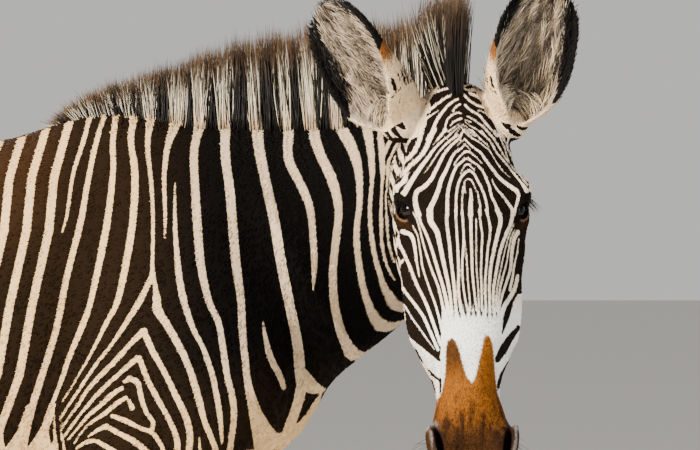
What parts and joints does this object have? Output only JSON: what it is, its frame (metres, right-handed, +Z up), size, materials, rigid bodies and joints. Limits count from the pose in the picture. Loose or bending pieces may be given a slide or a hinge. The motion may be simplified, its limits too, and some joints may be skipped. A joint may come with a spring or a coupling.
{
  "type": "standing zebra",
  "caption": "Life-size striped wild horse standing square on its hooves, neck bent and head turned to its right, with upright mane, big round ears and tufted tail.",
  "frame": {"origin": "middle of the bounding box, on the floor between the four hooves", "axes": "+X the way the body faces, +Y the animal's left side, +Z up"},
  "size_m": [2.0733, 0.9231, 1.723],
  "materials": {
    "coat": "short dense coat, dark brown and cream stripes, matt with a slight sheen",
    "long_hair": "stiff upright hair, banded cream and dark brown",
    "horn": "dull dark grey horn",
    "eye": "wet, very dark brown"
  },
  "bodies": {
    "root": {"trunk": "coat", "neck": "coat", "head": "coat", "ear_left": "coat", "ear_right": "coat", "foreleg_left_upper": "coat", "foreleg_left_lower": "coat", "foreleg_right_upper": "coat", "foreleg_right_lower": "coat", "hindleg_left_upper": "coat", "hindleg_left_lower": "coat", "hindleg_right_upper": "coat", "hindleg_right_lower": "coat", "tail_dock": "coat", "mane": "long_hair", "tail_tuft": "long_hair", "foreleg_left_hoof": "horn", "foreleg_right_hoof": "horn", "hindleg_left_hoof": "horn", "hindleg_right_hoof": "horn", "eye_left": "eye", "eye_right": "eye"}
  },
  "joints": []
}
